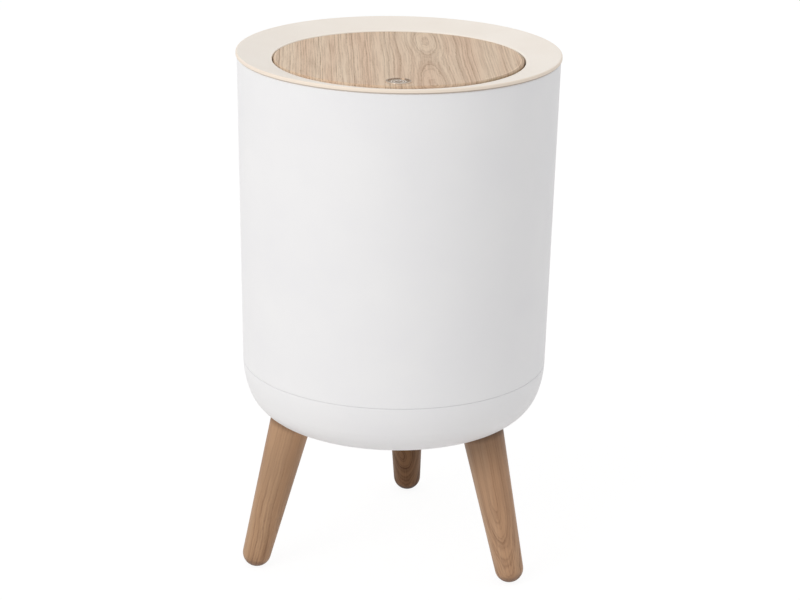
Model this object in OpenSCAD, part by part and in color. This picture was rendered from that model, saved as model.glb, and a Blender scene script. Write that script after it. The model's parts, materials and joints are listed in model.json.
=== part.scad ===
// Push-top countertop bin
//
// A round two-piece plastic shell stands on three splayed, turned wooden legs.
// A dished ring closes the top and carries a round wooden flap. The flap turns
// about two steel pins across its middle: a push on its front edge tips it into
// the bin, and the steel weight under it swings it level again. The ring lifts
// off, and a bucket with a wire bail then lifts out of the shell.
//
// Millimetres. The origin is on the floor, on the axis of the shell.
// +Z is up and -Y is the front, where the press mark is.

/* [Shell] */
// Height of the rim above the floor
overall_h = 350; // [330:1:380]
// Outside diameter of the rim
rim_d = 213; // [205:1:230]
// Height of the seam between the shell and the bowl
seam_h = 138.9; // [136:0.1:145]
// Height of the underside of the bowl, the room for the legs
leg_room = 100.6; // [96:0.1:104]
// Angle by which the shell narrows on its way down
shell_draft = 1.0; // [0.5:0.1:1.5]
// Wall of the shell
shell_wall = 2.2; // [1.8:0.1:2.6]
// Wall of the bowl
bowl_wall = 2.6; // [2.2:0.1:3.0]
// Radius of the long curve in the side of the bowl
bowl_side_round = 61; // [56:1:66]
// Radius of the tighter curve at the foot of the bowl
bowl_foot_round = 28; // [24:1:31]
// Rounding of the shell's top edge
shell_edge = 0.8; // [0.4:0.1:1.0]
// How far the rim stands out over the shell
rim_overhang = 0.75; // [0:0.05:1]
// Height of the lap by which the bowl enters the shell
lap_h = 8; // [5:0.5:12]
// Thickness of the lap
lap_t = 1.1; // [0.8:0.1:1.2]
// Rounding of the two edges that meet at the seam
seam_edge = 0.3; // [0.1:0.1:0.5]

/* [Legs] */
// How far the centre of a round foot lies inside the rim
foot_inset = 7.3; // [3:0.1:12]
// Angle by which a leg leans outwards
leg_splay = 14.9; // [12:0.1:17]
// Diameter of the round foot of a leg
foot_d = 19.2; // [16:0.1:22]
// Diameter of a leg at its top
leg_top_d = 28.2; // [26:0.1:31]
// Depth of the flat that the foot stands on
foot_flat = 0.4; // [0.2:0.1:0.8]
// How deep a leg sits in the bowl, along the leg
leg_socket_depth = 6; // [5:0.5:7]
// Turn of the three legs about the axis of the bin, as it was set down
leg_turn = -6.4; // [-15:0.1:15]
// Chamfer at the top edge of a leg
leg_top_chamfer = 0.8; // [0.4:0.1:1.5]
// Diameter of the threaded stud
stud_d = 8; // [6:0.5:8]
// Length of the stud in the leg
stud_in_leg = 28; // [20:1:40]
// Length of the threaded nut in the bowl
nut_l = 12; // [8:0.5:13]
// Diameter of the barrel of the nut
nut_d = 11; // [10:0.5:12]
// Diameter of the flange of the nut
nut_flange_d = 19; // [16:0.5:22]
// Thickness of the flange of the nut
nut_flange_t = 1.4; // [1:0.1:2]
// Floor of the bowl's socket, between the leg and the nut's recess
socket_floor = 11; // [8:0.5:12]
// Diameter of the boss around a socket
boss_d = 37; // [35:0.5:40]
// Height of the bucket seat above the underside of the bowl
seat_rise = 22.8; // [21.5:0.1:25]
// Thickness of the stiffening ribs on the floor of the bowl
rib_t = 1.8; // [1.2:0.1:2.4]
// Height of the stiffening ribs on the floor of the bowl
bowl_rib_h = 7; // [4:0.5:10]

/* [Lid ring] */
// Width of the ring, from the rim to the hole
ring_w = 23.6; // [21:0.1:26]
// Chamfer round the lid's lower edge, which shows as the dark joint line
joint_chamfer = 0.9; // [0.3:0.1:1.2]
// Thickness of the ring
ring_t = 2.2; // [1.8:0.1:2.6]
// Height of the band that shows at the side of the rim
band_h = 3; // [2.6:0.1:4]
// How far the hole's edge lies below the rim
dish_drop = 5.1; // [3:0.1:6]
// Rounding of the rim and of the hole's edge
ring_edge = 0.9; // [0.5:0.1:1.2]
// Depth of the skirt that enters the shell
skirt_h = 16; // [12:0.5:18]
// Thickness of the skirt
skirt_t = 1.8; // [1.4:0.1:2.2]
// Clearance between the skirt and the shell
skirt_gap = 0.35; // [0.2:0.05:0.6]
// Depth of the collar round the hole, below the rim
collar_h = 20; // [18:0.5:22]
// Thickness of the collar
collar_t = 2; // [1.6:0.1:2.4]
// Number of stiffening ribs between the collar and the skirt
ring_ribs = 12; // [6:2:18]
// How far those ribs reach below the rim
ring_rib_depth = 10.5; // [8:0.5:12]

/* [Flap] */
// Gap between the flap and the hole
flap_gap = 1; // [0.8:0.05:1.6]
// Thickness of the wooden disc
disc_t = 5; // [4:0.1:6]
// How far the disc stands above the hole's edge
disc_proud = 0.4; // [0:0.1:2]
// Rounding of the disc's top edge
disc_edge = 0.8; // [0.4:0.1:1.5]
// Tilt of the flap at rest, front edge up
flap_rest_tilt = 0.7; // [0:0.1:1.5]
// Swing of the flap to each side of level
flap_swing = 80; // [60:1:85]
// Distance from the underside of the disc down to the pin axis
pin_drop = 2.9; // [2.6:0.1:3.5]
// Inset of the carrier behind the disc's edge
carrier_inset = 2.3; // [2:0.1:4]
// Thickness of the carrier's plate and of its edge
carrier_t = 2; // [1.6:0.1:2.4]
// Depth of the carrier's edge
carrier_h = 7; // [6:0.5:9]
// Number of stiffening ribs under the carrier
carrier_ribs = 8; // [4:4:12]
// Thickness of the thin ribs under the flap and the ring
thin_rib = 1.4; // [1:0.1:1.8]

/* [Pivot] */
// Diameter of the pivot pin
pin_d = 4; // [3:0.1:4.4]
// Running clearance round the pin, on the radius
pin_play = 0.05; // [0.02:0.01:0.1]
// Wall of the bush
bush_wall = 1.5; // [1:0.1:1.8]
// Diameter of the bush's flange
bush_flange_d = 10; // [9:0.5:11]
// Thickness of the bush's flange
bush_flange_t = 0.8; // [0.6:0.1:1.2]
// Depth of the bearing block behind the hole's edge
block_depth = 9.5; // [8:0.5:11]
// Width of the bearing block
block_w = 24; // [20:1:30]
// Distance from the pin axis to the bottom of the bearing block
block_drop = 6.5; // [6:0.5:8]
// Outside diameter of the carrier's pin boss
pin_boss_d = 8.8; // [8:0.1:10]
// Length of the carrier's pin boss
pin_boss_l = 15; // [12:0.5:18]
// Distance from the pin axis to the top of the stop
stop_drop = 9; // [8.5:0.5:11]
// Height of the stop
stop_h = 6; // [4:0.5:8]
// Reach of the stop from the hole's edge towards the flap
stop_reach = 2.5; // [2:0.1:2.8]
// Clearance between the flap and its stop at the end of the swing
stop_gap = 0.3; // [0.2:0.05:0.6]

/* [Flap weight] */
// Length of the steel weight
weight_l = 100; // [70:1:104]
// Width of the weight
weight_w = 24; // [16:0.5:28]
// Thickness of the weight
weight_t = 6; // [3:0.5:7]
// How far the weight is set back, to balance the press mark
weight_set_back = 0.8; // [0:0.1:2]
// Distance between the weight's two screws
weight_screw_span = 60; // [40:1:66]
// Height of the posts that carry the weight, below the carrier's plate
weight_post_h = 8; // [5:0.5:9]

/* [Press mark] */
// Diameter of the round metal press mark
mark_d = 16.5; // [12:0.1:20]
// Distance from the edge of the disc to the middle of the mark
mark_inset = 13.2; // [11:0.1:40]
// Depth of the recess that holds the mark
mark_recess = 0.6; // [0.4:0.1:1]
// How far the mark stands above the disc
mark_proud = 0.5; // [0.3:0.1:1]

/* [Screws] */
// Diameter of the small screws' shank
screw_d = 2.9; // [2.5:0.1:3.5]
// Diameter of the small screws' head
screw_head_d = 5.6; // [5:0.1:6.5]
// Height of the small screws' head
screw_head_h = 1.9; // [1.5:0.1:2.5]
// Thread of the small screws that bites, below what they clamp
screw_bite = 3; // [2:0.1:3.4]
// Distance from the edge of the carrier to the disc's screws
screw_inset = 21.8; // [16:0.1:30]

/* [Bucket] */
// Clearance between the bucket's rim and the shell
bucket_gap = 2.2; // [1.5:0.1:3]
// Distance from the top of the shell to the bucket's rim
bucket_below = 19; // [18:0.5:30]
// Width of the bucket's rim
bucket_rim_w = 3.6; // [3.2:0.1:4.5]
// Depth of the turned-down edge of the bucket's rim
bucket_lip_h = 6; // [4:0.5:8]
// Wall of the bucket
bucket_wall = 1.6; // [1.2:0.1:2]
// Angle by which the bucket narrows on its way down
bucket_draft = 2.4; // [1:0.1:3]
// Rounding round the floor of the bucket
bucket_round = 10; // [6:0.5:14]
// Diameter of the bail's wire
wire_d = 3.2; // [2.5:0.1:3.6]
// How far the middle of the bail's wire lies inside the bucket's rim
bail_inset = 5.8; // [5.2:0.1:7]
// Height of the bail's pivot above the bucket's rim
bail_rise = 5; // [4.8:0.1:5.5]
// Thickness of the two ears that hold the bail
ear_t = 2.6; // [2:0.1:2.8]
// Width of the two ears
ear_w = 9; // [8:0.5:12]
// Play between the wire and its ear or its grip, on the radius
wire_play = 0.08; // [0.05:0.01:0.1]
// Diameter of the grip on the bail
grip_d = 9; // [7:0.5:9]
// Angle of the bail's arc that the grip covers
grip_angle = 50; // [30:1:70]

/* [Hidden] */
$fn = 120;

// A small amount by which a cut runs past the face it opens
past = 1;
// A snug fit between pieces that are fixed to each other
snug = 0.02;

// Points along an arc from one angle to another, both ends included
arc_steps = 8;
function arc(centre, r, from, to) = [
    for (i = [0 : arc_steps])
        let (a = from + (to - from) * i / arc_steps)
            centre + r * [cos(a), sin(a)]
];

// Shell
rim_r = rim_d / 2;
shell_top_h = overall_h - band_h;
shell_top_r = rim_r - rim_overhang;
seam_r = shell_top_r - (shell_top_h - seam_h) * tan(shell_draft);
function shell_r(h) = seam_r + (h - seam_h) * tan(shell_draft);
function shell_inner_r(h) = shell_r(h) - shell_wall;
lap_top_h = seam_h + lap_h;
lap_play = 0.1;

// The side of the bowl is one long arc that leaves the seam along the shell's
// slope. The arc round the foot of the bowl carries on from it and ends level.
side_x = seam_r - bowl_side_round * cos(shell_draft);
side_z = seam_h + bowl_side_round * sin(shell_draft);
foot_z = leg_room + bowl_foot_round;
foot_x = side_x + sqrt(pow(bowl_side_round - bowl_foot_round, 2) - pow(side_z - foot_z, 2));
arc_meet = atan2(side_z - foot_z, foot_x - side_x);

// Legs
foot_r = foot_d / 2;
foot_circle_d = rim_d - 2 * foot_inset;
foot_axis_h = foot_r - foot_flat;
leg_to_bowl = (leg_room - foot_axis_h) / cos(leg_splay);
leg_l = leg_to_bowl + leg_socket_depth;
leg_flare = asin((leg_top_d - foot_d) / 2 / leg_l);
leg_angles = [for (i = [0, 1, 2]) 210 + 120 * i + leg_turn];
socket_play = 0.35;
socket_r = leg_top_d / 2 + socket_play;
seat_h = leg_room + seat_rise;
nut_seat = leg_l + socket_floor + nut_flange_t;
stud_top = leg_l + nut_l + nut_flange_t;

// Lid ring
hole_r = rim_r - ring_w;
hole_h = overall_h - dish_drop;
ring_slope = atan2(dish_drop, ring_w - 2 * ring_edge);
collar_bottom = overall_h - collar_h;
collar_r = hole_r + collar_t;
collar_mid_r = hole_r + collar_t / 2;
skirt_bottom = shell_top_h - skirt_h;
function skirt_r(h) = shell_inner_r(h) - skirt_gap;
function ring_under(r) = hole_h + (r - hole_r) * tan(ring_slope) - ring_t / cos(ring_slope);
block_r = hole_r + block_depth;

// Flap
disc_r = hole_r - flap_gap;
disc_top = hole_h + disc_proud;
disc_bottom = disc_top - disc_t;
pin_h = disc_bottom - pin_drop;
carrier_r = disc_r - carrier_inset;
carrier_bottom = disc_bottom - carrier_h;
plate_bottom = disc_bottom - carrier_t;
mark_offset = disc_r - mark_inset;
screw_circle_r = carrier_r - screw_inset;
stop_bottom = pin_h - stop_drop - stop_h;
pin_r = pin_d / 2;
bush_r = pin_r + pin_play + bush_wall;
pin_out = block_r - past;
pin_in = carrier_r - pin_boss_l;
pin_l = pin_out - pin_in;
keeper_t = 1.5;
keeper_w = 11;
keeper_l = 11;
keeper_screw_r = pin_in - keeper_l + keeper_w / 2;
post_bottom = plate_bottom - weight_post_h;
post_wall = 3;
post_r = screw_d / 2 + post_wall;
hub_r = 14;

// Bucket
bucket_top = shell_top_h - bucket_below;
bucket_rim_r = shell_inner_r(bucket_top - bucket_lip_h) - bucket_gap;
bucket_r = bucket_rim_r - bucket_rim_w;
bucket_floor_r = bucket_r - (bucket_top - seat_h) * tan(bucket_draft);
bail_h = bucket_top + bail_rise;
bail_r = bucket_rim_r - bail_inset;
wire_r = wire_d / 2;
ear_play = 0.4;
ear_in = bail_r + wire_r + ear_play;
ear_out = ear_in + ear_t;
hook_end = ear_out + past;

// Colours, as the photograph shows them
white = [0.92, 0.92, 0.93];
cream = [0.93, 0.90, 0.86];
light_oak = [0.80, 0.71, 0.62];
leg_oak = [0.63, 0.49, 0.37];
steel = [0.72, 0.73, 0.75];
brass = [0.78, 0.66, 0.38];
grey = [0.62, 0.64, 0.66];
nylon = [0.90, 0.90, 0.86];

// Places its children on the axis of a leg: the origin is the centre of the
// round foot and +Z runs up along the leg
module on_leg(angle) {
    rotate([0, 0, angle])
        translate([foot_circle_d / 2, 0, foot_axis_h])
            rotate([0, -leg_splay, 0])
                children();
}

// Turns its children about the pins to the tilt at which the flap rests
module in_flap() {
    translate([0, 0, pin_h])
        rotate([-flap_rest_tilt, 0, 0])
            translate([0, 0, -pin_h])
                children();
}

// A cylinder along +X whose axis passes through the pins
module pin_axis_cylinder(r, from, to) {
    translate([from, 0, pin_h])
        rotate([0, 90, 0])
            cylinder(r = r, h = to - from);
}

// A ring round the axis of the bin
module ring(outer, inner, bottom, top) {
    translate([0, 0, bottom])
        difference() {
            cylinder(r = outer, h = top - bottom);
            translate([0, 0, -past])
                cylinder(r = inner, h = top - bottom + 2 * past);
        }
}

// A pan-head screw that points up: its head lies below z = 0, which is the face
// that it clamps
module screw(length) {
    translate([0, 0, -screw_head_h])
        cylinder(r = screw_head_d / 2, h = screw_head_h);
    cylinder(r = screw_d / 2, h = length);
}

// Right half of the bowl's section, drawn in from its outside by an inset
module bowl_section(inset) {
    side_r = bowl_side_round - inset;
    wedge = 2 * bowl_side_round;
    translate([foot_x, foot_z])
        circle(r = bowl_foot_round - inset);
    intersection() {
        translate([side_x, side_z])
            circle(r = side_r);
        polygon([
            [side_x, side_z],
            [side_x + wedge * cos(arc_meet), side_z - wedge * sin(arc_meet)],
            [side_x + wedge * cos(shell_draft), side_z - wedge * sin(shell_draft)]
        ]);
    }
    polygon([
        [0, leg_room + inset], [foot_x, leg_room + inset], [foot_x, foot_z],
        [side_x, side_z], [0, side_z]
    ]);
}

module bowl_solid(inset) {
    rotate_extrude()
        intersection() {
            bowl_section(inset);
            square([rim_r, seam_h]);
        }
}

module base_bowl() {
    color(white)
    difference() {
        union() {
            difference() {
                bowl_solid(0);
                bowl_solid(bowl_wall);
                // Open mouth above the curved cavity
                translate([0, 0, side_z - past])
                    cylinder(r = seam_r - bowl_wall, h = lap_h + past);
                seam_chamfer(seam_h, -1);
            }
            bowl_lap();
            intersection() {
                bowl_solid(bowl_wall / 2);
                union() {
                    for (a = leg_angles) on_leg(a) leg_boss();
                    bowl_ribs();
                }
            }
        }
        for (a = leg_angles) on_leg(a) socket_cuts();
        // Flat seats for the bucket on top of the bosses
        translate([0, 0, seat_h])
            cylinder(r = bucket_floor_r + past, h = seam_h - seat_h + lap_h);
    }
}

// The lap that stands up inside the foot of the shell
module bowl_lap() {
    inner = seam_r - bowl_wall;
    rotate_extrude()
        polygon([
            [inner, seam_h - past],
            [seam_r - shell_wall + lap_t - lap_play, seam_h - past],
            [shell_inner_r(seam_h) + lap_t - lap_play, lap_top_h - lap_play],
            [inner, lap_top_h - lap_play]
        ]);
}

module leg_boss() {
    translate([0, 0, leg_to_bowl - leg_top_d / 2])
        cylinder(r = boss_d / 2, h = leg_l);
}

module socket_cuts() {
    // Socket for the top of the leg
    translate([0, 0, -past])
        cylinder(r = socket_r, h = leg_l + past);
    // Seat for the barrel of the nut, and for its flange
    cylinder(r = nut_d / 2 + snug, h = 2 * leg_l);
    translate([0, 0, leg_l + socket_floor])
        cylinder(r = nut_flange_d / 2 + snug, h = leg_l);
}

// Ribs on the floor of the bowl, from a round hub out to the bosses
module bowl_ribs() {
    hub = foot_x / 4;
    top = leg_room + bowl_wall + bowl_rib_h;
    ring(hub, hub - rib_t, leg_room, top);
    for (a = leg_angles)
        rotate([0, 0, a])
            translate([hub - rib_t, -rib_t / 2, leg_room])
                cube([foot_x - hub, rib_t, bowl_wall + bowl_rib_h]);
    // Short gussets between the bosses, out to the curved side
    for (a = leg_angles)
        rotate([0, 0, a + 60])
            translate([hub - rib_t, -rib_t / 2, leg_room])
                cube([seam_r - hub, rib_t, bowl_wall + bowl_rib_h]);
}

// A triangular cut round the outside, which breaks the edge at a height.
// The direction is 1 above that height and -1 below it.
module seam_chamfer(h, direction) {
    edge = shell_r(h);
    rotate_extrude()
        polygon([
            [edge - seam_edge, h], [edge + seam_edge, h],
            [edge + seam_edge, h + direction * 2 * seam_edge]
        ]);
}

module body_shell() {
    color(white)
    difference() {
        rotate_extrude() {
            polygon([
                [shell_inner_r(seam_h), seam_h],
                [shell_r(seam_h), seam_h],
                [shell_r(shell_top_h - shell_edge), shell_top_h - shell_edge],
                [shell_top_r - shell_edge, shell_top_h],
                [shell_inner_r(shell_top_h), shell_top_h]
            ]);
            translate([shell_top_r - shell_edge, shell_top_h - shell_edge])
                circle(r = shell_edge);
        }
        // Rebate that takes the lap of the bowl
        rotate_extrude()
            polygon([
                [0, seam_h - past],
                [shell_inner_r(seam_h) + lap_t, seam_h - past],
                [shell_inner_r(seam_h) + lap_t, lap_top_h],
                [0, lap_top_h]
            ]);
        seam_chamfer(seam_h, 1);
    }
}

// Section of a leg: a round foot, then a straight flare to the top
module leg_section() {
    top_r = leg_top_d / 2;
    polygon([
        [0, 0],
        [foot_r * cos(leg_flare), -foot_r * sin(leg_flare)],
        [top_r, leg_l - leg_top_chamfer],
        [top_r - leg_top_chamfer, leg_l],
        [0, leg_l]
    ]);
    intersection() {
        circle(r = foot_r);
        translate([0, -foot_d])
            square([foot_d, foot_d]);
    }
}

module leg(angle) {
    color(leg_oak)
    difference() {
        on_leg(angle)
            difference() {
                rotate_extrude() leg_section();
                translate([0, 0, leg_l - stud_in_leg - past])
                    cylinder(r = stud_d / 2 + snug, h = stud_in_leg + 2 * past);
            }
        // The foot is sanded flat where it stands
        translate([0, 0, -foot_r])
            cylinder(r = foot_circle_d, h = foot_r);
    }
}

module leg_front_left() { leg(leg_angles[0]); }
module leg_front_right() { leg(leg_angles[1]); }
module leg_rear() { leg(leg_angles[2]); }

module leg_studs() {
    chamfer = 1;
    color(steel)
    for (a = leg_angles)
        on_leg(a)
            rotate_extrude()
                polygon([
                    [0, leg_l - stud_in_leg],
                    [stud_d / 2 - chamfer, leg_l - stud_in_leg],
                    [stud_d / 2, leg_l - stud_in_leg + chamfer],
                    [stud_d / 2, stud_top - chamfer],
                    [stud_d / 2 - chamfer, stud_top],
                    [0, stud_top]
                ]);
}

module leg_nuts() {
    color(brass)
    for (a = leg_angles)
        on_leg(a)
            difference() {
                union() {
                    translate([0, 0, nut_seat - nut_l])
                        cylinder(r = nut_d / 2, h = nut_l);
                    translate([0, 0, nut_seat - nut_flange_t])
                        cylinder(r = nut_flange_d / 2, h = nut_flange_t);
                }
                translate([0, 0, leg_l])
                    cylinder(r = stud_d / 2 + snug, h = 2 * nut_l + nut_flange_t);
            }
}

// Section of the ring: the dished top, the collar round the hole and the skirt
module lid_section() {
    out_x = rim_r - ring_edge;
    out_z = overall_h - ring_edge;
    in_x = hole_r + ring_edge;
    in_z = hole_h - ring_edge;
    polygon(concat(
        arc([in_x, in_z], ring_edge, 180, 90 + ring_slope),
        arc([out_x, out_z], ring_edge, 90 + ring_slope, 0),
        [
            [rim_r, shell_top_h + joint_chamfer],
            [rim_r - joint_chamfer, shell_top_h],
            [skirt_r(shell_top_h), shell_top_h],
            [skirt_r(skirt_bottom), skirt_bottom],
            [skirt_r(skirt_bottom) - skirt_t, skirt_bottom],
            [skirt_r(shell_top_h) - skirt_t, ring_under(skirt_r(shell_top_h) - skirt_t)],
            [collar_r, ring_under(collar_r)],
            [collar_r, stop_bottom],
            [hole_r, stop_bottom]
        ]
    ));
}

// Space under the ring in which its ribs and bearing blocks lie
module under_ring(outer, bottom) {
    rotate_extrude()
        polygon([
            [collar_mid_r, bottom], [outer, bottom],
            [outer, ring_under(outer) + ring_t / 2],
            [collar_mid_r, ring_under(collar_mid_r) + ring_t / 2]
        ]);
}

module lid_ring() {
    rib_end = skirt_r(skirt_bottom) - skirt_t / 2;
    color(cream)
    difference() {
        union() {
            rotate_extrude() lid_section();
            intersection() {
                under_ring(rib_end, overall_h - ring_rib_depth);
                for (i = [0 : ring_ribs - 1])
                    rotate([0, 0, (i + 0.5) * 360 / ring_ribs])
                        translate([hole_r, -thin_rib / 2, skirt_bottom])
                            cube([ring_w, thin_rib, collar_h]);
            }
            for (side = [0, 180])
                rotate([0, 0, side]) {
                    bearing_block();
                    stop();
                }
        }
        between_tongues();
        for (side = [0, 180])
            rotate([0, 0, side]) {
                pin_axis_cylinder(bush_r + snug, hole_r - past, block_r + past);
                pin_axis_cylinder(bush_flange_d / 2 + snug, hole_r - past, hole_r + bush_flange_t);
            }
    }
}

// Block under the ring that holds a bush
module bearing_block() {
    intersection() {
        under_ring(block_r, pin_h - block_drop);
        translate([hole_r, -block_w / 2, pin_h - block_drop])
            cube([block_depth, block_w, ring_w]);
    }
}

// Stop on the collar's tongue. It leans away from the flap on both sides, so
// that the underside of the tipped flap comes to lie along it.
module stop() {
    translate([hole_r - stop_reach, 0, pin_h])
        rotate([90, 0, 90])
            linear_extrude(stop_reach + collar_t / 2)
                polygon([
                    [-stop_half(stop_drop), -stop_drop],
                    [stop_half(stop_drop), -stop_drop],
                    [stop_half(stop_drop + stop_h), -stop_drop - stop_h],
                    [-stop_half(stop_drop + stop_h), -stop_drop - stop_h]
                ]);
}

// The lower part of the collar that is cut away. Only a tongue below each pin
// is left of it, to carry the stop.
module between_tongues() {
    half = stop_half(stop_drop + stop_h) + collar_t;
    difference() {
        translate([0, 0, stop_bottom - past])
            cylinder(r = collar_r + past, h = collar_bottom - stop_bottom + past);
        translate([-rim_r, -half, stop_bottom - 2 * past])
            cube([rim_d, 2 * half, collar_h]);
    }
}

// Half the width of the stop at a distance below the pin axis
function stop_half(drop) = (pin_drop + drop * cos(flap_swing)) / sin(flap_swing) - stop_gap;

module bush() {
    difference() {
        union() {
            pin_axis_cylinder(bush_r, hole_r + bush_flange_t / 2, block_r);
            intersection() {
                pin_axis_cylinder(bush_flange_d / 2, hole_r - past, hole_r + bush_flange_t);
                ring(block_r, hole_r, pin_h - block_drop, pin_h + block_drop);
            }
        }
        pin_axis_cylinder(pin_r + pin_play, hole_r - past, block_r + past);
    }
}

module pivot_bush_right() { color(nylon) bush(); }
module pivot_bush_left() { color(nylon) rotate([0, 0, 180]) bush(); }

// Places its children at the four screws that hold the disc to the carrier
module at_disc_screws() {
    for (i = [0 : 3])
        rotate([0, 0, 45 + 90 * i])
            translate([screw_circle_r, 0, 0])
                children();
}

// Places its children at the keepers' two screws
module at_keeper_screws() {
    for (side = [-1, 1])
        translate([side * keeper_screw_r, 0, 0])
            children();
}

module flap_disc() {
    hole_depth = screw_bite + disc_edge / 2;
    color(light_oak)
    in_flap()
        difference() {
            rotate_extrude() {
                polygon([
                    [0, disc_bottom], [disc_r, disc_bottom],
                    [disc_r, disc_top - disc_edge],
                    [disc_r - disc_edge, disc_top], [0, disc_top]
                ]);
                translate([disc_r - disc_edge, disc_top - disc_edge])
                    circle(r = disc_edge);
            }
            translate([0, -mark_offset, disc_top - mark_recess])
                cylinder(r = mark_d / 2 + snug, h = mark_recess + past);
            translate([0, 0, disc_bottom - past]) {
                at_disc_screws() cylinder(r = screw_d / 2 + snug, h = hole_depth + past);
                at_keeper_screws() cylinder(r = screw_d / 2 + snug, h = hole_depth + past);
            }
        }
}

module flap_carrier() {
    color(white)
    in_flap()
        difference() {
            union() {
                ring(carrier_r, 0, plate_bottom, disc_bottom);
                ring(carrier_r, carrier_r - carrier_t, carrier_bottom, disc_bottom);
                ring(hub_r, hub_r - thin_rib, carrier_bottom + thin_rib, disc_bottom);
                for (i = [0 : carrier_ribs - 1])
                    rotate([0, 0, (i + 0.5) * 360 / carrier_ribs])
                        translate([hub_r - thin_rib, -thin_rib / 2, carrier_bottom + thin_rib])
                            cube([carrier_r - hub_r, thin_rib, carrier_h - thin_rib]);
                at_weight_screws() cylinder(r = post_r, h = disc_bottom - post_bottom);
                at_disc_screws() screw_pad();
                intersection() {
                    pin_bosses();
                    ring(carrier_r, 0, carrier_bottom - carrier_t, disc_bottom);
                }
            }
            for (side = [0, 180])
                rotate([0, 0, side])
                    pin_axis_cylinder(pin_r + snug, pin_in - past, carrier_r + past);
            at_weight_screws() cylinder(r = screw_d / 2 + snug, h = weight_post_h);
            translate([0, 0, post_bottom - past]) {
                at_disc_screws() cylinder(r = screw_d / 2 + snug, h = disc_t + disc_bottom);
                at_keeper_screws() cylinder(r = screw_d / 2 + snug, h = disc_t + disc_bottom);
            }
        }
}

// Thickening of the plate under the head of a disc screw
module screw_pad() {
    translate([0, 0, plate_bottom - thin_rib])
        cylinder(r = screw_head_d / 2 + thin_rib, h = carrier_t + thin_rib);
}

// Bosses for the two pins, each with a web up to the plate
module pin_bosses() {
    for (side = [0, 180])
        rotate([0, 0, side]) {
            pin_axis_cylinder(pin_boss_d / 2, pin_in, carrier_r);
            translate([pin_in, -pin_boss_d / 2, pin_h])
                cube([pin_boss_l, pin_boss_d, pin_drop]);
        }
}

module flap_screws() {
    color(steel)
    in_flap()
        translate([0, 0, plate_bottom - thin_rib])
            at_disc_screws() screw(carrier_t + thin_rib + screw_bite);
}

module pin() {
    chamfer = 0.4;
    translate([pin_in, 0, pin_h])
        rotate([0, 90, 0])
            rotate_extrude()
                polygon([
                    [0, 0], [pin_r - chamfer, 0], [pin_r, chamfer],
                    [pin_r, pin_l - chamfer], [pin_r - chamfer, pin_l], [0, pin_l]
                ]);
}

module pivot_pin_right() { color(steel) in_flap() pin(); }
module pivot_pin_left() { color(steel) in_flap() rotate([0, 0, 180]) pin(); }

// Small bent plate, screwed under the carrier, that stops the pin from sliding in
module keeper() {
    translate([0, 0, plate_bottom - keeper_t])
        difference() {
            translate([pin_in - keeper_l, -keeper_w / 2, 0])
                cube([keeper_l, keeper_w, keeper_t]);
            translate([keeper_screw_r, 0, -past])
                cylinder(r = screw_d / 2 + snug, h = keeper_t + 2 * past);
        }
    translate([pin_in - keeper_t, -keeper_w / 2, pin_h - pin_r])
        cube([keeper_t, keeper_w, plate_bottom - pin_h + pin_r]);
}

module pin_keeper_right() { color(steel) in_flap() keeper(); }
module pin_keeper_left() { color(steel) in_flap() rotate([0, 0, 180]) keeper(); }

module keeper_screws() {
    color(steel)
    in_flap()
        translate([0, 0, plate_bottom - keeper_t])
            at_keeper_screws() screw(carrier_t + keeper_t + screw_bite);
}

module flap_weight() {
    corner = weight_w / 4;
    color(steel)
    in_flap()
        difference() {
            translate([0, weight_set_back, post_bottom - weight_t])
                linear_extrude(weight_t) {
                    square([weight_l - 2 * corner, weight_w], center = true);
                    square([weight_l, weight_w - 2 * corner], center = true);
                    for (x = [-1, 1], y = [-1, 1])
                        translate([x * (weight_l / 2 - corner), y * (weight_w / 2 - corner)])
                            circle(r = corner);
                }
            translate([0, 0, -2 * weight_t])
                at_weight_screws() cylinder(r = screw_d / 2 + snug, h = 3 * weight_t);
        }
}

// Places its children at the foot of the two posts that carry the weight
module at_weight_screws() {
    for (side = [-1, 1])
        translate([side * weight_screw_span / 2, 0, post_bottom])
            children();
}

module weight_screws() {
    color(steel)
    in_flap()
        translate([0, 0, -weight_t])
            at_weight_screws() screw(weight_t + weight_post_h - past);
}

// Plain round mark: a raised rim, a shallow dish and a low dome in the middle
module press_mark() {
    r = mark_d / 2;
    rim = 1.1;
    bead = mark_proud / 2;
    dome = 2.6;
    dome_ball = 5;
    dome_sink = sqrt(dome_ball * dome_ball - dome * dome);
    bottom = disc_top - mark_recess;
    color(steel)
    in_flap()
        translate([0, -mark_offset, 0])
            rotate_extrude() {
                translate([0, bottom]) square([r, mark_recess]);
                translate([r - rim, disc_top]) square([rim - bead, mark_proud]);
                translate([r - rim, disc_top]) square([rim, mark_proud - bead]);
                translate([r - bead, disc_top + mark_proud - bead]) circle(r = bead);
                intersection() {
                    translate([0, disc_top - dome_sink]) circle(r = dome_ball);
                    translate([0, bottom]) square([dome, mark_recess + mark_proud]);
                }
            }
}

// Section of the bucket, drawn in from its outside by an inset
module bucket_section(inset) {
    corner = bucket_round - inset;
    slope_r = bucket_floor_r + bucket_round * tan(bucket_draft);
    polygon([
        [0, seat_h + inset],
        [bucket_floor_r - bucket_round, seat_h + inset],
        [bucket_floor_r - bucket_round, seat_h + bucket_round],
        [slope_r - inset, seat_h + bucket_round],
        [bucket_r - inset, bucket_top],
        [0, bucket_top]
    ]);
    intersection() {
        translate([slope_r - bucket_round, seat_h + bucket_round]) circle(r = corner);
        translate([0, seat_h]) square([slope_r, bucket_round]);
    }
    translate([0, seat_h + inset]) square([slope_r - bucket_round, corner]);
}

// Turns its children so that the bail lies at the rear, clear of the bearings
module in_bucket() {
    rotate([0, 0, 90])
        children();
}

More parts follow.
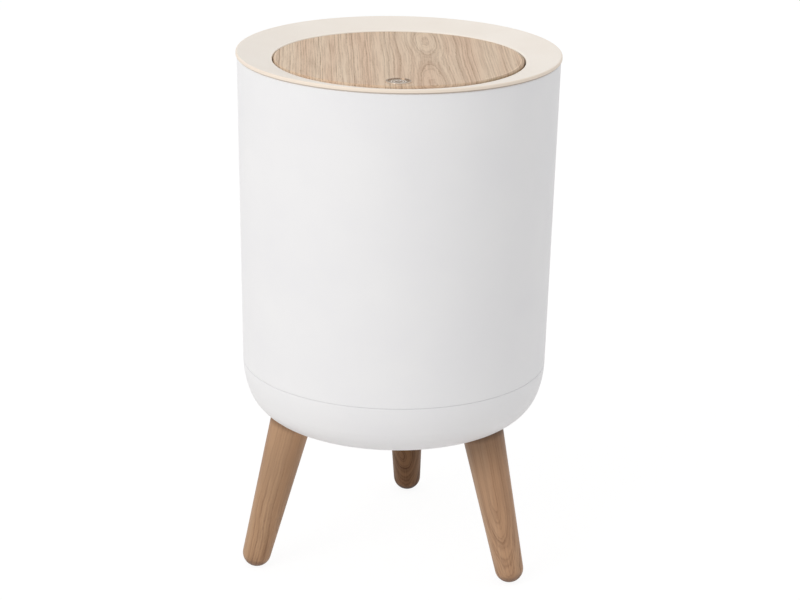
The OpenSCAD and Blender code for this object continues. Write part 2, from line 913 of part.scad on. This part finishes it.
module inner_bucket() {
    color(grey)
    in_bucket()
    difference() {
        union() {
            difference() {
                rotate_extrude() bucket_section(0);
                rotate_extrude() bucket_section(bucket_wall);
                translate([0, 0, bucket_top - past / 2])
                    cylinder(r = bucket_r - bucket_wall, h = past);
            }
            ring(bucket_rim_r, bucket_r - bucket_wall / 2, bucket_top - bucket_wall, bucket_top);
            ring(bucket_rim_r, bucket_rim_r - thin_rib, bucket_top - bucket_lip_h, bucket_top);
            for (side = [0, 180]) rotate([0, 0, side]) ear();
        }
        translate([0, -bail_r - ear_out, bail_h])
            rotate([-90, 0, 0])
                cylinder(r = wire_r + wire_play, h = 2 * (bail_r + ear_out));
    }
}

// Upright ear on the bucket's rim that takes the hooked end of the bail
module ear() {
    translate([-ear_w / 2, ear_in, bucket_top - bucket_wall])
        cube([ear_w, ear_t, bail_rise + bucket_wall]);
    translate([0, ear_in, bail_h])
        rotate([-90, 0, 0])
            cylinder(r = ear_w / 2, h = ear_t);
}

// Half a hoop of wire that lies along the rim, with its ends hooked outwards
module bail_wire() {
    color(steel)
    in_bucket()
    translate([0, 0, bail_h]) {
        rotate([0, 0, -90])
            rotate_extrude(angle = 180)
                translate([bail_r, 0]) circle(r = wire_r);
        for (side = [-1, 1])
            translate([0, side * bail_r, 0]) {
                sphere(r = wire_r);
                rotate([-side * 90, 0, 0])
                    cylinder(r = wire_r, h = hook_end - bail_r);
            }
    }
}

module bail_grip() {
    color(white)
    in_bucket()
    translate([0, 0, bail_h])
        rotate([0, 0, -grip_angle / 2])
            rotate_extrude(angle = grip_angle)
                translate([bail_r, 0])
                    difference() {
                        circle(r = grip_d / 2);
                        circle(r = wire_r + wire_play);
                    }
}

base_bowl();
body_shell();
leg_front_left();
leg_front_right();
leg_rear();
leg_studs();
leg_nuts();
lid_ring();
pivot_bush_left();
pivot_bush_right();
flap_disc();
flap_carrier();
flap_screws();
press_mark();
pivot_pin_left();
pivot_pin_right();
pin_keeper_left();
pin_keeper_right();
keeper_screws();
flap_weight();
weight_screws();
inner_bucket();
bail_wire();
bail_grip();
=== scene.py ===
import json
import math

import bpy
from mathutils import Matrix, Vector

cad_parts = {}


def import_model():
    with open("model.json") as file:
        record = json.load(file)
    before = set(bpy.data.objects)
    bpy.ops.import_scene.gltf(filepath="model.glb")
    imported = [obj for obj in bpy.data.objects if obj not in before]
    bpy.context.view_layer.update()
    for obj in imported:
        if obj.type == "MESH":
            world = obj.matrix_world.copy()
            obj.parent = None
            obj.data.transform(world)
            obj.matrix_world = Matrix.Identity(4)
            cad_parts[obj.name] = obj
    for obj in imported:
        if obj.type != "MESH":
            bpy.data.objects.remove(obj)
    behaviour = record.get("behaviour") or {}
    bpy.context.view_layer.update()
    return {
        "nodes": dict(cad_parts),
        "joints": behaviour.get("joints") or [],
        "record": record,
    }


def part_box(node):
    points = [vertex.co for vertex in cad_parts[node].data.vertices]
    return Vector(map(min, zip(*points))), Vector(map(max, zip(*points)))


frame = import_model()
nodes = frame["nodes"]

# Places that the finishes follow, in millimetres, read off the frame

MM = 1000.0
seam_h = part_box("body_shell")[0][2] * MM
rim_r, _, rim_top = (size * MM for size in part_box("lid_ring")[1])
feet = {m["name"]: Vector(m["pos_m"]) * MM for m in frame["record"]["mounts"]}
pin_h = next(j["pos_m"][2] for j in frame["joints"] if j["name"] == "flap_swing") * MM
mark_low, mark_high = (Vector(corner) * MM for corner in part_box("press_mark"))
mark_centre = (mark_low + mark_high) / 2
mark_r = (mark_high - mark_low)[0] / 2
disc_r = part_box("flap_disc")[1][0] * MM
bowl_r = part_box("base_bowl")[1][0] * MM
bowl_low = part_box("base_bowl")[0][2] * MM

# The disc's top face lies this far above the pins, and the flap rests at this tilt
disc_rise = 7.9
flap_tilt = math.radians(0.7)
# A leg leans this much, and the middle of its round foot is this high
leg_splay = math.radians(14.9)
foot_height = 9.2
# The rim's side band is this high
band_h = 3.0
# The gap between the disc and the ring's hole
flap_gap = 1.0
# Width of the mark's raised rim
mark_rim = 1.1
# The bowl's side turns under in an arc of this radius, whose middle lies this far inside it
bowl_round = 28.0
bowl_round_inset = 30.0

# Depth in metres of the grain on plastic, of the pores in oak and of the scratches in metal
plastic_relief = 0.00002
oak_relief = 0.00006
metal_relief = 0.00001


def linear(r, g, b):
    """A colour as it is read off a picture, in Blender's linear values."""
    def one(v):
        v /= 255
        return v / 12.92 if v <= 0.04045 else ((v + 0.055) / 1.055) ** 2.4
    return (one(r), one(g), one(b), 1.0)


def cleared_tree(owner):
    """The node tree of a material or world, with nothing in it yet."""
    owner.use_nodes = True
    owner.node_tree.nodes.clear()
    return owner.node_tree


def put(tree, socket, value):
    """Gives a socket a plain value, or links it to the output of another node."""
    if hasattr(value, "links"):
        tree.links.new(value, socket)
    else:
        socket.default_value = value


def add_node(tree, kind, inputs=(), **settings):
    """A new shader node, with its inputs in order, or in a dictionary by name or place."""
    node = tree.nodes.new("ShaderNode" + kind)
    for name, value in settings.items():
        setattr(node, name, value)
    pairs = inputs.items() if isinstance(inputs, dict) else enumerate(inputs)
    for key, value in pairs:
        put(tree, node.inputs[key], value)
    return node


class Shader:
    """Builds one node material from plain calls, so that the recipes below stay short."""

    def __init__(self, name):
        self.material = bpy.data.materials.new(name)
        self.tree = cleared_tree(self.material)
        self.surface = self.node("BsdfPrincipled")
        self.node("OutputMaterial", [self.surface.outputs[0]])
        # Object coordinates in millimetres, which stay with a piece as it moves
        metres = self.node("TexCoord").outputs["Object"]
        self.mm = self.node("VectorMath", {0: metres, "Scale": MM}, operation="SCALE").outputs[0]

    def node(self, kind, inputs=(), **settings):
        return add_node(self.tree, kind, inputs, **settings)

    def math(self, operation, *values, clamp=False):
        return self.node("Math", values, operation=operation, use_clamp=clamp).outputs[0]

    def add(self, *values, clamp=False):
        """The sum of any number of values."""
        total = values[0]
        for value in values[1:]:
            total = self.math("ADD", total, value)
        return self.math("MULTIPLY", total, 1.0, clamp=True) if clamp else total

    def times(self, value, factor):
        return self.math("MULTIPLY", value, factor)

    def minus(self, value, other):
        return self.math("SUBTRACT", value, other)

    def larger(self, value, other):
        return self.math("MAXIMUM", value, other)

    def length(self, a, b):
        """How long a line is that goes a one way and b square to it."""
        return self.math("SQRT", self.add(self.times(a, a), self.times(b, b)))

    def vector(self, operation, *values):
        return self.node("VectorMath", values, operation=operation).outputs["Vector"]

    def dot(self, vector, way):
        """How far a vector goes in a direction."""
        return self.node("VectorMath", (vector, tuple(way)), operation="DOT_PRODUCT").outputs["Value"]

    def from_point(self, point):
        """Coordinates in millimetres from a point."""
        return self.vector("SUBTRACT", self.mm, tuple(point))

    def split(self, vector):
        return self.node("SeparateXYZ", [vector]).outputs

    def join(self, x, y=0.0, z=0.0):
        return self.node("CombineXYZ", (x, y, z)).outputs[0]

    def noise(self, vector, scale=1.0, detail=2.0, roughness=0.5):
        return self.node("TexNoise", {"Vector": vector, "Scale": scale, "Detail": detail,
                                      "Roughness": roughness}).outputs[0]

    def drawn_out(self, point, width, length, **kind):
        """Noise in spots that are this wide and, along the grain, this long."""
        across, depth, along = point
        return self.noise(self.join(self.times(across, 1 / width), self.times(depth, 1 / width),
                                    self.times(along, 1 / length)), **kind)

    def chance(self, number):
        """A fixed random number for each whole number that comes in."""
        return self.node("TexWhiteNoise", {"W": number}, noise_dimensions="1D").outputs["Value"]

    def span(self, value, low, high, to_low=0.0, to_high=1.0, smooth=False):
        """Carries a value from one range over to another, and stops at its ends."""
        return self.node("MapRange", (value, low, high, to_low, to_high),
                         interpolation_type="SMOOTHSTEP" if smooth else "LINEAR").outputs[0]

    def fade(self, value, start, end):
        """A share that falls softly from one to nought."""
        return self.span(value, start, end, 1.0, 0.0, smooth=True)

    def between(self, value, start, full, fading, end):
        """A share that rises from start to full, and falls again from fading to end."""
        return self.times(self.span(value, start, full), self.span(value, end, fading))

    def spread(self, noise, low=0.0, high=1.0):
        """Noise, most of which lies between 0.3 and 0.7, spread over a range."""
        return self.span(noise, 0.3, 0.7, low, high)

    def swing(self, noise, size):
        """Noise as a number that goes to both sides of nought."""
        return self.times(self.minus(noise, 0.5), size)

    def ramp(self, value, stops):
        """A grey that runs softly through the stops."""
        node = self.node("ValToRGB", [value])
        node.color_ramp.interpolation = "EASE"
        elements = node.color_ramp.elements
        while len(elements) < len(stops):
            elements.new(0.5)
        for element, (position, level) in zip(elements, stops):
            element.position = position
            element.color = (level,) * 3 + (1.0,)
        return node.outputs[0]

    def mix(self, share, a, b, blend="MIX"):
        """From colour a to colour b, as far as the share goes."""
        return self.node("Mix", {0: share, 6: a, 7: b},
                         data_type="RGBA", blend_type=blend).outputs[2]

    def toned(self, share, colour, tone):
        """A colour that is multiplied by a tone, as far as the share goes."""
        return self.mix(share, colour, tone, blend="MULTIPLY")

    def bump(self, height, relief, strength):
        """Gives the whole surface a relief of this depth in metres."""
        self.set(Normal=self.node("Bump", {"Strength": strength, "Distance": relief,
                                           "Height": height}).outputs[0])

    def set(self, **values):
        """Sets the surface's own sockets, and gives back the material."""
        for name, value in values.items():
            put(self.tree, self.surface.inputs[name.replace("_", " ")], value)
        return self.material


def dress(material, *names):
    """Gives CAD nodes a material on their own slots."""
    for name in names:
        piece = nodes[name]
        if not piece.material_slots:
            piece.data.materials.append(None)
        for slot in piece.material_slots:
            slot.link = "OBJECT"
            slot.material = material


# Plastics

def spark_grain(s, per_mm, strength=0.6):
    """The fine grain of a spark-eroded mould, as relief and as noise."""
    grains = s.noise(s.mm, scale=per_mm, roughness=0.6)
    s.bump(grains, plastic_relief, strength)
    return grains


def clouded(s, shade, colour, grains):
    """A faint cloudiness between two near colours, broken up a little by the grain."""
    clouds = s.noise(s.mm, scale=0.02, detail=3.0)
    speckle = 0.10
    return s.mix(s.add(s.spread(clouds), s.swing(grains, speckle), clamp=True), shade, colour)


def uneven(s, roughness, scale=0.09, detail=4.0):
    """Roughness that drifts a little to both sides of its mean."""
    drift = 0.05
    return s.spread(s.noise(s.mm, scale=scale, detail=detail), roughness - drift, roughness + drift)


def moulded(name, colour, shade, roughness, grain=0.35):
    """Moulded plastic, with a grain of this width in millimetres and uneven gloss."""
    s = Shader(name)
    return s.set(Base_Color=clouded(s, shade, colour, spark_grain(s, 1 / grain)),
                 Roughness=uneven(s, roughness))


def shell_finish():
    """Matt white plastic, with a thin line of painted shade in the groove at the seam."""
    s = Shader("shell_white")
    _, _, z = s.split(s.mm)
    plain = clouded(s, linear(240, 240, 242), linear(243, 243, 244), spark_grain(s, 2.9))
    # The painted shade line has this half width and share, and is gone this far from the seam
    half_shade_line, shade_line_share, shade_line_end = 0.15, 0.38, 0.55
    from_seam = s.math("ABSOLUTE", s.minus(z, seam_h))
    line = s.span(from_seam, half_shade_line, shade_line_end, shade_line_share, 0.0, smooth=True)
    return s.set(Base_Color=s.mix(line, plain, linear(196, 196, 198)), Roughness=uneven(s, 0.52))


def ring_finish():
    """Cream plastic, a little warmer down the side of the rim than on top, with a painted
    highlight round the hole, and painted shade in the joint under the rim, deeper towards the right."""
    s = Shader("ring_cream")
    x, y, z = s.split(s.mm)
    r = s.length(x, y)
    hole_r = disc_r + flap_gap
    joint_h = rim_top - band_h
    side_start, side_full = rim_r - 1.2, rim_r - 0.3
    lip_highlight_full, lip_highlight_end = hole_r + 0.3, hole_r + 1.8
    joint_shade_full, joint_shade_end = joint_h + 0.4, joint_h + 1.3
    shade_left, shade_right = -20.0, 45.0
    clouds = s.noise(s.mm, scale=0.03, detail=3.0)
    body = s.mix(s.spread(clouds), linear(244, 235, 224), linear(247, 239, 229))
    side = s.span(r, side_start, side_full, smooth=True)
    body = s.mix(side, body, linear(245, 231, 215))
    # A painted highlight round the hole's rounded edge
    body = s.mix(s.fade(r, lip_highlight_full, lip_highlight_end), body, linear(253, 246, 235))
    # Painted shade in the joint under the rim, deeper towards the right
    joint = s.times(side, s.fade(z, joint_shade_full, joint_shade_end))
    shade = s.mix(s.span(x, shade_left, shade_right), linear(184, 172, 162), linear(152, 136, 124))
    spark_grain(s, 3.0, strength=0.5)
    return s.set(Base_Color=s.mix(joint, body, shade),
                 Specular_IOR_Level=0.3,
                 Roughness=uneven(s, 0.49, scale=0.1, detail=3.0))


# Wood

def oak(name, place, pith, vivid, painted_light_and_shade, light, dark, tint, contrast, fine, sway, pore,
        dash=20.0, ripple=1.5, gloss=0.5):
    """Oak as it grows: rings round a pith that runs beside the piece, pores along them.

    place(s) gives the point's across, depth and along coordinates in millimetres, and
    pith(s, along) is how far the pith lies behind the surface. vivid(s, point) is the
    share of the grain that shows, and the fourth function, on (s, point, colour), comes
    last and adds painted light and shade. light and dark are the wood's two colours, and
    tint is that of its broad patches. contrast is the strength of the rings, and fine
    that of the fibres and pores. sway is how far the fibres wander from side to side,
    and ripple how far they do in depth. pore is the width of a pore, and dash its length
    in widths. gloss is the specular level."""
    s = Shader(name)
    point = place(s)
    across, depth, along = point
    slow = s.drawn_out(point, width=42, length=120)
    quick = s.drawn_out(point, width=9, length=50)
    ripples = s.drawn_out(point, width=6, length=10)
    u = s.add(across, s.swing(slow, sway), s.swing(quick, sway / 4))
    d = s.add(depth, pith(s, along), s.swing(ripples, ripple))
    # Years differ in width and in how dark their early wood is
    year_width, drift, drift_pace, palest = 1.7, 2.2, 0.31, 0.1
    years = s.times(s.length(u, d), 1 / year_width)
    years = s.add(years, s.times(s.noise(s.join(s.times(years, drift_pace)), detail=1.0), drift))
    shape = s.ramp(s.math("FRACT", years), [
        (0.0, 0.55), (0.18, 0.95), (0.42, 0.50), (0.66, 0.12), (0.84, 0.18), (1.0, 0.55)])
    band = s.times(shape, s.span(s.chance(s.math("FLOOR", years)), 0.0, 1.0, palest, 1.0))
    # Good and poor years come in groups, from a place of their own in the noise
    group_pace, apart = 0.42, 7.0
    group = s.noise(s.join(s.times(years, group_pace), apart))
    # Open pores are short dark dashes, most of them in the early wood
    pore_start, pore_full, in_late_wood = 0.52, 0.64, 0.35
    fibre = (u, depth, along)
    dashes = s.drawn_out(fibre, width=pore, length=pore * dash, roughness=0.65)
    pores = s.times(s.span(dashes, pore_start, pore_full),
                    s.span(band, 0.05, 0.6, in_late_wood, 1.0))
    # Fine long fibres, and broad patches of slightly different colour
    patch_start, patch_full = 0.40, 0.64
    strands = s.drawn_out(fibre, width=1 / 0.9, length=50, detail=3.0, roughness=0.65)
    patches = s.drawn_out(fibre, width=17, length=260)
    # How much darker each of these makes the wood
    ground, by_band, by_group, by_strand, by_pore = 0.10, 0.70, 1.5, 1.9, 0.42
    tone = s.add(ground, s.times(band, by_band * contrast), s.swing(group, by_group * contrast),
                 s.swing(strands, by_strand * fine), s.times(pores, by_pore * fine), clamp=True)
    mean_tone = 0.3
    tone = s.add(mean_tone, s.times(s.add(tone, -mean_tone), vivid(s, point)))
    colour = s.mix(tone, light, dark)
    colour = s.toned(s.span(patches, patch_start, patch_full), colour, tint)
    sunk = s.add(s.times(pores, 0.8), s.times(band, 0.2))
    s.bump(s.minus(1.0, sunk), oak_relief, 0.7)
    return s.set(Base_Color=painted_light_and_shade(s, point, colour),
                 Specular_IOR_Level=gloss,
                 Roughness=s.span(tone, 0.0, 1.0, 0.46, 0.62))


def level_with_flap(s):
    """Coordinates in which the tilted flap lies level, with z from the disc's top face."""
    x, y, z = s.split(s.mm)
    rise = s.minus(z, pin_h)
    cos, sin = math.cos(flap_tilt), math.sin(flap_tilt)
    flat_y = s.minus(s.times(y, cos), s.times(rise, sin))
    flat_z = s.add(s.times(rise, cos), s.times(y, sin), -disc_rise)
    return x, flat_y, flat_z


def disc_place(s):
    """The disc's grain runs from front to back, turned a little, with its figure to the right."""
    skew, figure_x = 0.04, 19.3
    x, y, z = level_with_flap(s)
    return s.add(x, s.times(y, skew), -figure_x), s.times(z, -1.0), y


def disc_pith(s, along):
    """The trunk narrows, swells and narrows again, which draws a closed figure near the
    back of the board and an arch towards its front."""
    waist, to_figure, to_front = -1.0, 52.0, 81.0
    nearest, farthest = 3.0, 8.6
    behind = s.larger(s.add(along, -waist), 0.0)
    before = s.larger(s.add(s.times(along, -1.0), waist), 0.0)
    phase = s.add(s.times(behind, math.pi / to_figure), s.times(before, math.pi / to_front))
    return s.span(s.math("COSINE", phase), -1.0, 1.0, nearest, farthest)


def disc_vivid(s, point):
    """The grain is stronger towards the left of the board."""
    across, _, _ = point
    left, right, stronger, weaker = -45.0, -20.0, 1.35, 0.86
    return s.span(across, left, right, stronger, weaker, smooth=True)


def disc_edge(s, point, colour):
    """Painted light makes the side of the disc a little lighter. At the right, painted shade
    makes it darker instead, also on top, up to a thin painted highlight."""
    x, y, z = level_with_flap(s)
    # The painted highlight lies between these, and the painted shade on the bevel takes over as it
    # fades
    highlight_start, highlight_full, highlight_fading, bevel = (disc_r - inset for inset in (2.7, 2.3, 1.9, 1.5))
    # The painted shade covers the right of the disc, which is this far along X, and not yet this far
    # towards the back
    right_start, right_full, back_start, back_full = 44.0, 60.0, 5.0, 35.0
    r = s.length(x, y)
    right = s.times(s.span(x, right_start, right_full), s.span(y, back_full, back_start))
    side_full, side_end = -0.8, -0.4
    side = s.fade(z, side_full, side_end)
    top = s.times(right, s.span(r, highlight_fading, bevel))
    line = s.between(r, highlight_start, highlight_full, highlight_fading, bevel)
    # Tones for the painted light on the side, the painted shade at the right and the painted
    # highlight
    lighter, darker, bright = (1.08, 1.13, 1.22, 1), (0.78, 0.76, 0.71, 1), (1.16, 1.18, 1.18, 1)
    colour = s.toned(s.larger(side, top), colour, s.mix(right, lighter, darker))
    return s.toned(s.times(line, right), colour, bright)


def leg_oak(name, mount, turn, pith_depth, foot_rise, foot_reach, shift, painted_top_shading,
            shade=None, foot_shade=None, **grain):
    """Oak for one leg. turn sets which face of the blank looks towards the front, and
    shift moves its figure sideways. foot_rise is how much deeper the pith lies at the
    foot than at foot_reach and above, which draws arches there. The tone for the top is
    painted shade near the bowl, and on the left leg painted light. shade and foot_shade
    are painted shade for a leg whose front side is in the dark under the bowl, and grain
    goes on to oak()."""
    outward = feet[mount].normalized()
    foot = feet[mount] + Vector((0.0, 0.0, foot_height))
    along_way = Vector((0.0, 0.0, math.cos(leg_splay))) - outward * math.sin(leg_splay)
    to_front = Vector((0.0, -1.0, 0.0))
    depth_way = (to_front - along_way * to_front.dot(along_way)).normalized()
    depth_way.rotate(Matrix.Rotation(math.radians(turn), 3, along_way))
    across_way = along_way.cross(depth_way).normalized()

    def place(s):
        p = s.from_point(foot)
        return (s.add(s.dot(p, across_way), shift),
                s.times(s.dot(p, depth_way), -1.0),
                s.dot(p, along_way))

    def pith(s, along):
        drop = s.span(along, -foot_height, foot_reach, foot_rise, 0.0, smooth=True)
        wobble_length, wobble_size = 24, 2.5
        wobble = s.noise(s.join(s.times(along, 1 / wobble_length), turn), detail=1.0)
        return s.add(pith_depth, drop, s.swing(wobble, wobble_size))

    def vivid(s, point):
        """The figure fades towards the top of the leg."""
        _, _, along = point
        low, high, stronger, weaker = 5.0, 75.0, 1.3, 0.5
        return s.span(along, low, high, stronger, weaker, smooth=True)

    def toning(s, point, colour):
        """Painted shade under the foot and, in a narrow line, where the leg meets the bowl, on
        the top near the bowl and on a front side in the dark; the left leg's top gets painted light."""
        _, depth, along = point
        x, y, z = s.split(s.mm)
        out = s.larger(s.add(s.length(x, y), bowl_round_inset - bowl_r), 0.0)
        down = s.add(s.times(z, -1.0), bowl_low + bowl_round)
        from_bowl = s.add(s.length(out, down), -bowl_round)
        # Where each layer is full and where it ends
        top_shading_end, top_shading_full = 62.0, 96.0
        underside_shade_full, underside_shade_end = 1.5 - foot_height, 7.3 - foot_height
        contact_shade_full, contact_shade_end = 0.5, 5.0
        front_end, front_full = -7.0, 2.0
        # Painted shade on the top near the bowl; on the left leg it is painted light
        top_shading_share = s.span(along, top_shading_end, top_shading_full, smooth=True)
        # Painted shade on the underside of the foot
        under = s.fade(along, underside_shade_full, underside_shade_end)
        # Painted shade in a narrow line where the leg meets the bowl
        near = s.fade(from_bowl, contact_shade_full, contact_shade_end)
        layers = [(top_shading_share, painted_top_shading), (under, linear(192, 182, 172)),
                  (near, linear(203, 195, 185))]
        if shade:
            # Painted shade on the front side of a leg that is in the dark under the bowl
            front = s.span(s.times(depth, -1.0), front_end, front_full, smooth=True)
            layers += [(front, shade), (s.times(under, front), foot_shade)]
        for share, tone in layers:
            colour = s.toned(share, colour, tone)
        return colour

    return oak(name, place, pith, vivid, toning, tint=linear(246, 237, 228),
               sway=2.5, pore=0.30, dash=9.0, **grain)


# Metals

def metal(name, colour, shade, roughness, stretch):
    """Brushed or turned metal: fine scratches along one direction over a soft stain."""
    s = Shader(name)
    scratches = s.noise(s.vector("MULTIPLY", s.mm, stretch), scale=1.2, detail=4.0, roughness=0.7)
    toning = s.noise(s.mm, scale=0.12, detail=3.0)
    s.bump(scratches, metal_relief, 0.5)
    return s.set(Base_Color=s.mix(s.span(toning, 0.35, 0.7), colour, shade),
                 Metallic=1.0,
                 Roughness=s.spread(scratches, roughness - 0.08, roughness + 0.12))


def mark_finish():
    """Turned metal mark: brown-grey, with painted highlights along its turned rings, and polished
    edges.
    """
    s = Shader("mark_metal")
    x, y, _ = s.split(s.from_point(mark_centre))
    r = s.length(x, y)
    marks_per_mm = 6.0
    turning = s.noise(s.join(s.times(r, marks_per_mm)), detail=3.0, roughness=0.7)
    first_ring, ring_step, ring_highlights_fading, ring_highlights_end = 1.4, 1.65, 5.4, 5.8
    # Painted highlights along the turned rings
    wave = s.math("COSINE", s.times(s.add(r, -first_ring), math.tau / ring_step))
    rings = s.times(s.span(wave, 0.35, 0.95), s.span(r, ring_highlights_end, ring_highlights_fading))
    # The raised rim's inner edge and its outline are polished
    inner_r = mark_r - mark_rim
    inner = s.between(r, inner_r - 0.2, inner_r - 0.05, inner_r + 0.05, inner_r + 0.15)
    edges = s.larger(inner, s.span(r, mark_r - 0.4, mark_r - 0.1))
    plain = s.mix(edges, (0.32, 0.26, 0.21, 1), (0.72, 0.62, 0.53, 1))
    s.bump(turning, metal_relief, 0.6)
    return s.set(Base_Color=s.mix(rings, plain, (0.97, 0.95, 0.93, 1)),
                 Metallic=1.0,
                 Specular_Tint=(0.80, 0.74, 0.68, 1),
                 Roughness=s.spread(turning, 0.20, 0.36))


# The finish of each piece

steel = metal("steel", (0.62, 0.63, 0.65, 1), (0.50, 0.51, 0.53, 1), 0.30, (0.06, 1.0, 1.0))
brass = metal("brass", (0.72, 0.53, 0.26, 1), (0.60, 0.42, 0.19, 1), 0.28, (1.0, 1.0, 0.08))

dress(shell_finish(), "base_bowl", "body_shell")
dress(ring_finish(), "lid_ring")
dress(oak("flap_oak", disc_place, disc_pith, disc_vivid, disc_edge,
          light=linear(224, 199, 170), dark=linear(159, 128, 101), tint=linear(246, 236, 230),
          contrast=0.74, fine=0.76, sway=3.0, pore=0.34, ripple=3.4),
      "flap_disc")
dress(leg_oak("leg_oak_left", "foot_front_left", turn=78.0, pith_depth=24.0,
              foot_rise=3.0, foot_reach=40.0, shift=4.0,
              light=linear(182, 145, 111), dark=linear(114, 80, 54),
              painted_top_shading=(1.12, 1.12, 1.12, 1), contrast=0.46, fine=0.50),
      "leg_front_left")
dress(leg_oak("leg_oak_right", "foot_front_right", turn=4.0, pith_depth=12.0,
              foot_rise=13.0, foot_reach=52.0, shift=2.0,
              light=linear(190, 154, 122), dark=linear(119, 85, 60),
              painted_top_shading=linear(206, 203, 198), contrast=0.54, fine=0.46, ripple=3.6),
      "leg_front_right")
dress(leg_oak("leg_oak_rear", "foot_rear", turn=6.0, pith_depth=4.0,
              foot_rise=22.0, foot_reach=45.0, shift=4.6,
              light=linear(187, 150, 118), dark=linear(116, 82, 56),
              painted_top_shading=linear(240, 236, 230), shade=linear(173, 164, 150),
              foot_shade=linear(137, 121, 97), contrast=0.80, fine=0.50, ripple=2.2, gloss=0.2),
      "leg_rear")
dress(mark_finish(), "press_mark")
dress(moulded("carrier_white", linear(236, 236, 236), linear(229, 229, 230), 0.45),
      "flap_carrier", "bail_grip")
dress(moulded("bucket_grey", linear(196, 199, 202), linear(188, 191, 195), 0.36), "inner_bucket")
dress(moulded("bush_nylon", linear(232, 230, 216), linear(224, 221, 204), 0.35, grain=0.2),
      "pivot_bush_left", "pivot_bush_right")
dress(brass, "leg_nuts")
dress(steel, "leg_studs", "flap_screws", "pivot_pin_left", "pivot_pin_right",
      "pin_keeper_left", "pin_keeper_right", "keeper_screws", "flap_weight",
      "weight_screws", "bail_wire")


# Floor, light and camera

def add_object(name, data):
    o = bpy.data.objects.new(name, data)
    bpy.context.scene.collection.objects.link(o)
    return o


def seen_directly(tree):
    """One for rays from the camera, from gloss and through glass, nought for light."""
    path = add_node(tree, "LightPath").outputs
    share = path["Is Camera Ray"]
    for ray in ("Is Glossy Ray", "Is Transmission Ray"):
        share = add_node(tree, "Math", (share, path[ray]), operation="MAXIMUM").outputs[0]
    return share


def floor():
    """A plain pale floor. What the camera sees of it is mostly white, and it keeps a faint
    shadow of the object."""
    half, white_share = 6.0, 0.85
    mesh = bpy.data.meshes.new("floor")
    mesh.from_pydata([(-half, -half, 0), (half, -half, 0), (half, half, 0), (-half, half, 0)],
                     [], [(0, 1, 2, 3)])
    material = bpy.data.materials.new("floor")
    tree = cleared_tree(material)
    matte = add_node(tree, "BsdfDiffuse", {"Color": (0.82, 0.80, 0.78, 1)})
    white = add_node(tree, "Emission", {"Color": (1, 1, 1, 1), "Strength": 1.075})
    share = add_node(tree, "Math", (seen_directly(tree), white_share), operation="MULTIPLY")
    mixer = add_node(tree, "MixShader", (share.outputs[0], matte.outputs[0], white.outputs[0]))
    add_node(tree, "OutputMaterial", [mixer.outputs[0]])
    mesh.materials.append(material)
    add_object("floor", mesh)


def world(horizon, overhead):
    """A soft studio sky, brighter overhead than at the horizon, that is seen as plain white."""
    w = bpy.data.worlds.new("studio")
    bpy.context.scene.world = w
    tree = cleared_tree(w)
    direction = add_node(tree, "TexCoord").outputs["Generated"]
    height = add_node(tree, "SeparateXYZ", [direction]).outputs["Z"]
    level = add_node(tree, "MapRange", {"Value": height, "To Min": horizon, "To Max": overhead})
    sky = add_node(tree, "Background", {"Color": (0.985, 0.99, 1.0, 1), "Strength": level.outputs[0]})
    white = add_node(tree, "Background", {"Color": (1, 1, 1, 1), "Strength": 1.0})
    mixer = add_node(tree, "MixShader", (seen_directly(tree), sky.outputs[0], white.outputs[0]))
    add_node(tree, "OutputWorld", [mixer.outputs[0]])


def area_light(name, place, target, size, power, colour):
    """A round lamp that shines on the target."""
    data = bpy.data.lights.new(name, "AREA")
    data.shape = "DISK"
    data.size = size
    data.energy = power
    data.color = colour
    o = add_object(name, data)
    o.location = place
    o.rotation_euler = (Vector(target) - Vector(place)).to_track_quat("-Z", "Y").to_euler()


def camera():
    """The camera at the photograph's place, fitted to the rim, the hole and the three feet."""
    place = Vector((0.0, -1.6003, 0.7195))
    target = Vector((0.00345, 0.0, 0.17835))
    roll = 0.0176
    focal_px, picture_w, sensor_w = 2506.8, 800, 36.0
    forward = (target - place).normalized()
    right = forward.cross(Vector((0, 0, 1))).normalized()
    up = right.cross(forward)
    rolled_right = math.cos(roll) * right + math.sin(roll) * up
    rolled_up = math.cos(roll) * up - math.sin(roll) * right
    data = bpy.data.cameras.new("camera")
    data.sensor_width = sensor_w
    data.lens = focal_px / picture_w * sensor_w
    o = add_object("camera", data)
    turn = Matrix((rolled_right, rolled_up, -forward)).transposed().to_4x4()
    o.matrix_world = Matrix.Translation(place) @ turn
    bpy.context.scene.camera = o


floor()
world(horizon=0.60, overhead=0.85)
area_light("key", place=(-1.5, -1.5, 1.5), target=(0, 0, 0.2), size=1.4, power=17.5,
           colour=(1.0, 0.985, 0.96))
camera()
bpy.context.scene.view_settings.view_transform = "Standard"
